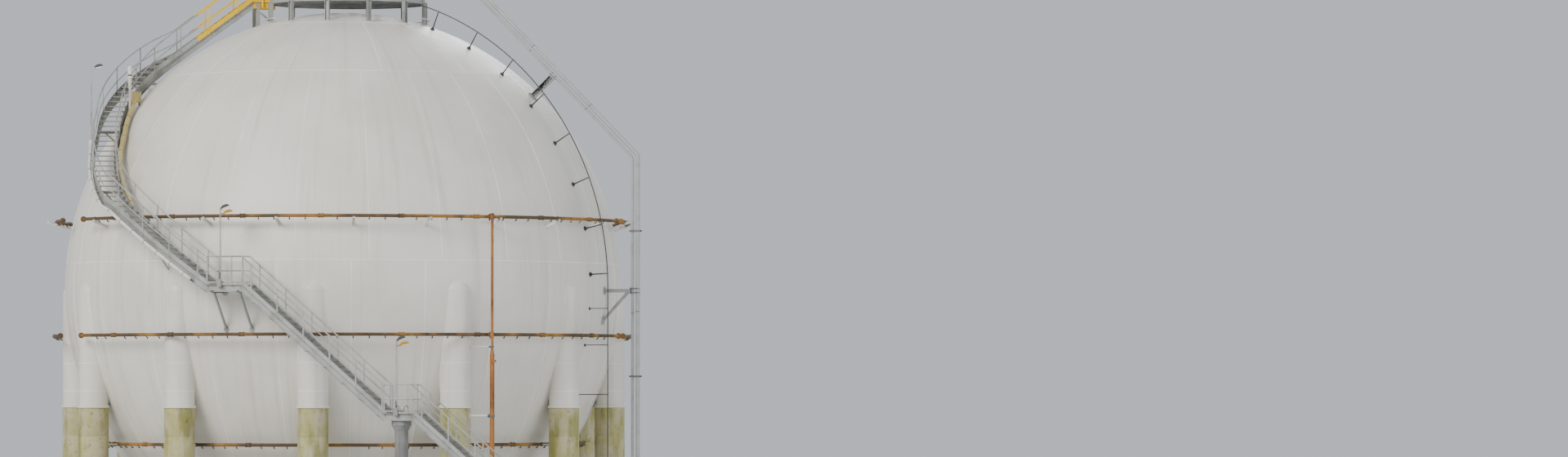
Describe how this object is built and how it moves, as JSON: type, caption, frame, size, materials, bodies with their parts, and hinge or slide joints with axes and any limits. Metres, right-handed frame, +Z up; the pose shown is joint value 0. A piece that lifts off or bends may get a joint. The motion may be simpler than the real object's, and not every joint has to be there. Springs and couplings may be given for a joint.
{
  "type": "spherical gas tank",
  "caption": "Spherical storage tank on upright legs with cross bracing, a winding access stair, a top platform with valves, fire-water rings and relief pipes.",
  "frame": {"origin": "middle of the footprint, at ground level", "axes": "+Z up, -Y towards the picture's viewer, +X to the viewer's right"},
  "size_m": [23.9688, 29.1354, 26.6134],
  "materials": {
    "shell_paint": "off-white paint, satin, faint streaks",
    "leg_paint": "off-white paint, stained below the collar",
    "galvanised": "dull pale grey zinc",
    "safety_yellow": "yellow paint",
    "fire_water": "rusty dark brown paint",
    "pipe_grey": "light grey paint, satin",
    "concrete": "plain concrete",
    "dark_line": "dark and dull"
  },
  "bodies": {
    "root": {"shell_bottom_crown": "shell_paint", "shell_belt_course": "shell_paint", "shell_upper_course": "shell_paint", "shell_top_crown": "shell_paint", "leg_1": "leg_paint", "leg_2": "leg_paint", "leg_3": "leg_paint", "leg_4": "leg_paint", "leg_5": "leg_paint", "leg_6": "leg_paint", "leg_7": "leg_paint", "leg_8": "leg_paint", "leg_9": "leg_paint", "leg_10": "leg_paint", "leg_11": "leg_paint", "leg_12": "leg_paint", "cross_brace_1": "leg_paint", "cross_brace_2": "leg_paint", "cross_brace_3": "leg_paint", "cross_brace_4": "leg_paint", "cross_brace_5": "leg_paint", "cross_brace_6": "leg_paint", "cross_brace_7": "leg_paint", "cross_brace_8": "leg_paint", "cross_brace_9": "leg_paint", "cross_brace_10": "leg_paint", "cross_brace_11": "leg_paint", "cross_brace_12": "leg_paint", "fire_water_upper_arc_1": "fire_water", "fire_water_upper_arc_2": "fire_water", "fire_water_upper_arc_3": "fire_water", "fire_water_lower_arc_1": "fire_water", "fire_water_lower_arc_2": "fire_water", "fire_water_lower_arc_3": "fire_water", "fire_water_riser_1": "fire_water", "fire_water_riser_2": "fire_water", "fire_water_riser_3": "fire_water", "fire_water_inner_ring": "fire_water", "conductor_line": "dark_line", "relief_pipes": "pipe_grey", "relief_pipe_post": "galvanised", "relief_pipe_bracket": "galvanised", "stair_flight_1": "galvanised", "stair_flight_2": "galvanised", "stair_flight_3": "galvanised", "stair_landing_1": "galvanised", "stair_landing_2": "galvanised", "stair_landing_3": "galvanised", "stair_pedestal_1": "concrete", "stair_pedestal_2": "concrete", "spiral_flight_lower": "galvanised", "spiral_flight_upper": "galvanised", "stair_head": "safety_yellow", "platform_deck": "galvanised", "platform_frame": "galvanised", "platform_rail": "galvanised", "valve_canopy": "pipe_grey", "valve_manifold": "pipe_grey", "bottom_nozzle": "pipe_grey"}
  },
  "joints": []
}
